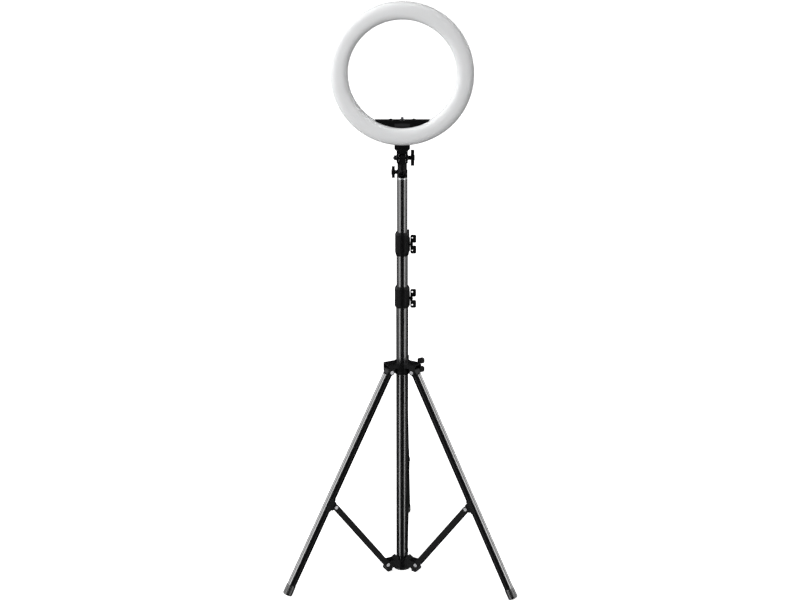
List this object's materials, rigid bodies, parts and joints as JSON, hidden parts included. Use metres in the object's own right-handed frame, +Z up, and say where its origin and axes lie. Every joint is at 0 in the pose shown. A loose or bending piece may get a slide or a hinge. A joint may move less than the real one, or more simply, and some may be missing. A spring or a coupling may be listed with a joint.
{
  "type": "ring light on light stand",
  "caption": "Ring light with an opal diffuser and rear controls, on a tilting spigot neck and a telescopic light stand with a folding braced tripod base.",
  "frame": {"origin": "centre of the rubber base plug's underside, on the column axis at the floor", "axes": "+Z up along the column; -Y is the lit side of the ring; +X to the right when facing the lit side"},
  "size_m": [0.5722, 0.5084, 1.422],
  "materials": {
    "diffuser_acrylic": "milky opal, satin",
    "board_white": "white solder mask",
    "led_phosphor": "yellow phosphor",
    "housing_black": "fine moulded texture",
    "board_green": "green solder mask",
    "knob_black": "satin moulded",
    "steel_plain": "plain turned",
    "stud_black": "black zinc",
    "screw_steel": "zinc plated",
    "casting_black": "satin powder coat",
    "thumbscrew_metal": "dark turned",
    "tube_black": "black anodised, satin",
    "bush_grey": "nylon",
    "clamp_black": "glass-filled nylon",
    "pad_brass": "plain",
    "rubber_black": "matte",
    "rivet_steel": "darkened",
    "strut_black": "satin black"
  },
  "bodies": {
    "column": {"main_tube": "tube_black", "base_hub": "clamp_black", "base_plug": "rubber_black", "hub_rivets": "rivet_steel", "lower_clamp": "clamp_black", "lower_clamp_pad": "pad_brass"},
    "lower_clamp_knob": {"lower_clamp_knob": "knob_black", "lower_clamp_screw": "screw_steel"},
    "spider": {"leg_spider": "clamp_black", "spider_rivets": "rivet_steel"},
    "spider_knob": {"spider_knob": "knob_black", "spider_screw": "screw_steel"},
    "mid": {"mid_tube": "tube_black", "mid_tube_bush": "bush_grey", "upper_clamp": "clamp_black", "upper_clamp_pad": "pad_brass"},
    "upper_clamp_knob": {"upper_clamp_knob": "knob_black", "upper_clamp_screw": "screw_steel"},
    "top": {"top_tube": "tube_black", "top_tube_bush": "bush_grey", "top_spigot": "steel_plain"},
    "socket": {"spigot_socket": "casting_black"},
    "socket_knob": {"socket_knob": "knob_black", "socket_screw": "screw_steel"},
    "thumbscrew": {"thumbscrew": "thumbscrew_metal"},
    "head": {"diffuser": "diffuser_acrylic", "led_board": "board_white", "led_chips": "led_phosphor", "rear_housing": "housing_black", "control_front": "housing_black", "driver_board": "board_green", "dc_inlet": "steel_plain", "camera_stud": "stud_black", "case_screws": "screw_steel", "neck_bracket": "casting_black", "tilt_washers": "screw_steel", "tilt_nut": "screw_steel"},
    "tilt_knob": {"tilt_knob": "knob_black", "tilt_bolt": "screw_steel"},
    "brightness_knob": {"brightness_knob": "knob_black"},
    "colour_knob": {"colour_knob": "knob_black"},
    "power_rocker": {"power_rocker": "knob_black"},
    "leg_1": {"leg_plug_1": "clamp_black", "leg_tube_1": "tube_black", "leg_bracket_1": "clamp_black", "leg_foot_1": "rubber_black"},
    "strut_1": {"strut_1": "strut_black", "strut_rivets_1": "rivet_steel"},
    "leg_2": {"leg_plug_2": "clamp_black", "leg_tube_2": "tube_black", "leg_bracket_2": "clamp_black", "leg_foot_2": "rubber_black"},
    "strut_2": {"strut_2": "strut_black", "strut_rivets_2": "rivet_steel"},
    "leg_3": {"leg_plug_3": "clamp_black", "leg_tube_3": "tube_black", "leg_bracket_3": "clamp_black", "leg_foot_3": "rubber_black"},
    "strut_3": {"strut_3": "strut_black", "strut_rivets_3": "rivet_steel"}
  },
  "joints": [
    {"name": "spider_slide", "type": "slide", "parent": "column", "child": "spider", "axis": [0, 0, 1], "range_m": [0, 0.0806]},
    {"name": "mid_slide", "type": "slide", "parent": "column", "child": "mid", "axis": [0, 0, 1], "range_m": [-0.075, 0.5]},
    {"name": "top_slide", "type": "slide", "parent": "mid", "child": "top", "axis": [0, 0, 1], "range_m": [-0.12, 0.45]},
    {"name": "head_pan", "type": "hinge", "parent": "top", "child": "socket", "pos_m": [0, 0, 1.028], "axis": [0, 0, 1], "continuous": true},
    {"name": "head_tilt", "type": "hinge", "parent": "socket", "child": "head", "pos_m": [0, 0, 1.062], "axis": [1, 0, 0], "range_deg": [-90, 90]},
    {"name": "leg_fold_1", "type": "hinge", "parent": "spider", "child": "leg_1", "pos_m": [0.00126, 0.03598, 0.539], "axis": [-0.9994, 0.0349, 0], "range_deg": [0, 23.17]},
    {"name": "strut_fold_1", "type": "hinge", "parent": "column", "child": "strut_1", "pos_m": [0.00164, 0.04697, 0.024], "axis": [0.9994, -0.0349, 0], "range_deg": [0, 36.2]},
    {"name": "leg_fold_2", "type": "hinge", "parent": "spider", "child": "leg_2", "pos_m": [-0.03179, -0.0169, 0.539], "axis": [0.4695, -0.8829, 0], "range_deg": [0, 23.17]},
    {"name": "strut_fold_2", "type": "hinge", "parent": "column", "child": "strut_2", "pos_m": [-0.0415, -0.02207, 0.024], "axis": [-0.4695, 0.8829, 0], "range_deg": [0, 36.2]},
    {"name": "leg_fold_3", "type": "hinge", "parent": "spider", "child": "leg_3", "pos_m": [0.03053, -0.01908, 0.539], "axis": [0.5299, 0.848, 0], "range_deg": [0, 23.17]},
    {"name": "strut_fold_3", "type": "hinge", "parent": "column", "child": "strut_3", "pos_m": [0.03986, -0.02491, 0.024], "axis": [-0.5299, -0.848, 0], "range_deg": [0, 36.2]},
    {"name": "upper_clamp_knob_turn", "type": "hinge", "parent": "mid", "child": "upper_clamp_knob", "pos_m": [0.02, 0, 0.853], "axis": [1, 0, 0], "range_deg": [0, 540]},
    {"name": "lower_clamp_knob_turn", "type": "hinge", "parent": "column", "child": "lower_clamp_knob", "pos_m": [0.02, 0, 0.718], "axis": [1, 0, 0], "range_deg": [0, 540]},
    {"name": "spider_knob_turn", "type": "hinge", "parent": "spider", "child": "spider_knob", "pos_m": [0.03797, 0.02019, 0.539], "axis": [0.8829, 0.4695, 0], "range_deg": [0, 540]},
    {"name": "socket_knob_turn", "type": "hinge", "parent": "socket", "child": "socket_knob", "pos_m": [-0.015, 0, 1.028], "axis": [-1, 0, 0], "range_deg": [0, 540]},
    {"name": "thumbscrew_turn", "type": "hinge", "parent": "socket", "child": "thumbscrew", "pos_m": [0, -0.016, 1.026], "axis": [0, -1, 0], "range_deg": [0, 540]},
    {"name": "tilt_knob_turn", "type": "hinge", "parent": "head", "child": "tilt_knob", "pos_m": [0.014, 0, 1.062], "axis": [1, 0, 0], "range_deg": [0, 540]},
    {"name": "brightness_turn", "type": "hinge", "parent": "head", "child": "brightness_knob", "pos_m": [-0.027, 0.015, 1.1436], "axis": [0, 1, 0], "range_deg": [0, 270]},
    {"name": "colour_turn", "type": "hinge", "parent": "head", "child": "colour_knob", "pos_m": [0.027, 0.015, 1.1436], "axis": [0, 1, 0], "range_deg": [0, 270]},
    {"name": "power_switch", "type": "hinge", "parent": "head", "child": "power_rocker", "pos_m": [-0.008, 0.014, 1.1436], "axis": [0, 0, 1], "range_deg": [0, 10]}
  ],
  "couplings": [
    {"joint": "leg_fold_1", "follows": "spider_slide", "rad_per_m": 5.0155},
    {"joint": "strut_fold_1", "follows": "spider_slide", "rad_per_m": 7.836},
    {"joint": "leg_fold_2", "follows": "spider_slide", "rad_per_m": 5.0155},
    {"joint": "strut_fold_2", "follows": "spider_slide", "rad_per_m": 7.836},
    {"joint": "leg_fold_3", "follows": "spider_slide", "rad_per_m": 5.0155},
    {"joint": "strut_fold_3", "follows": "spider_slide", "rad_per_m": 7.836}
  ]
}
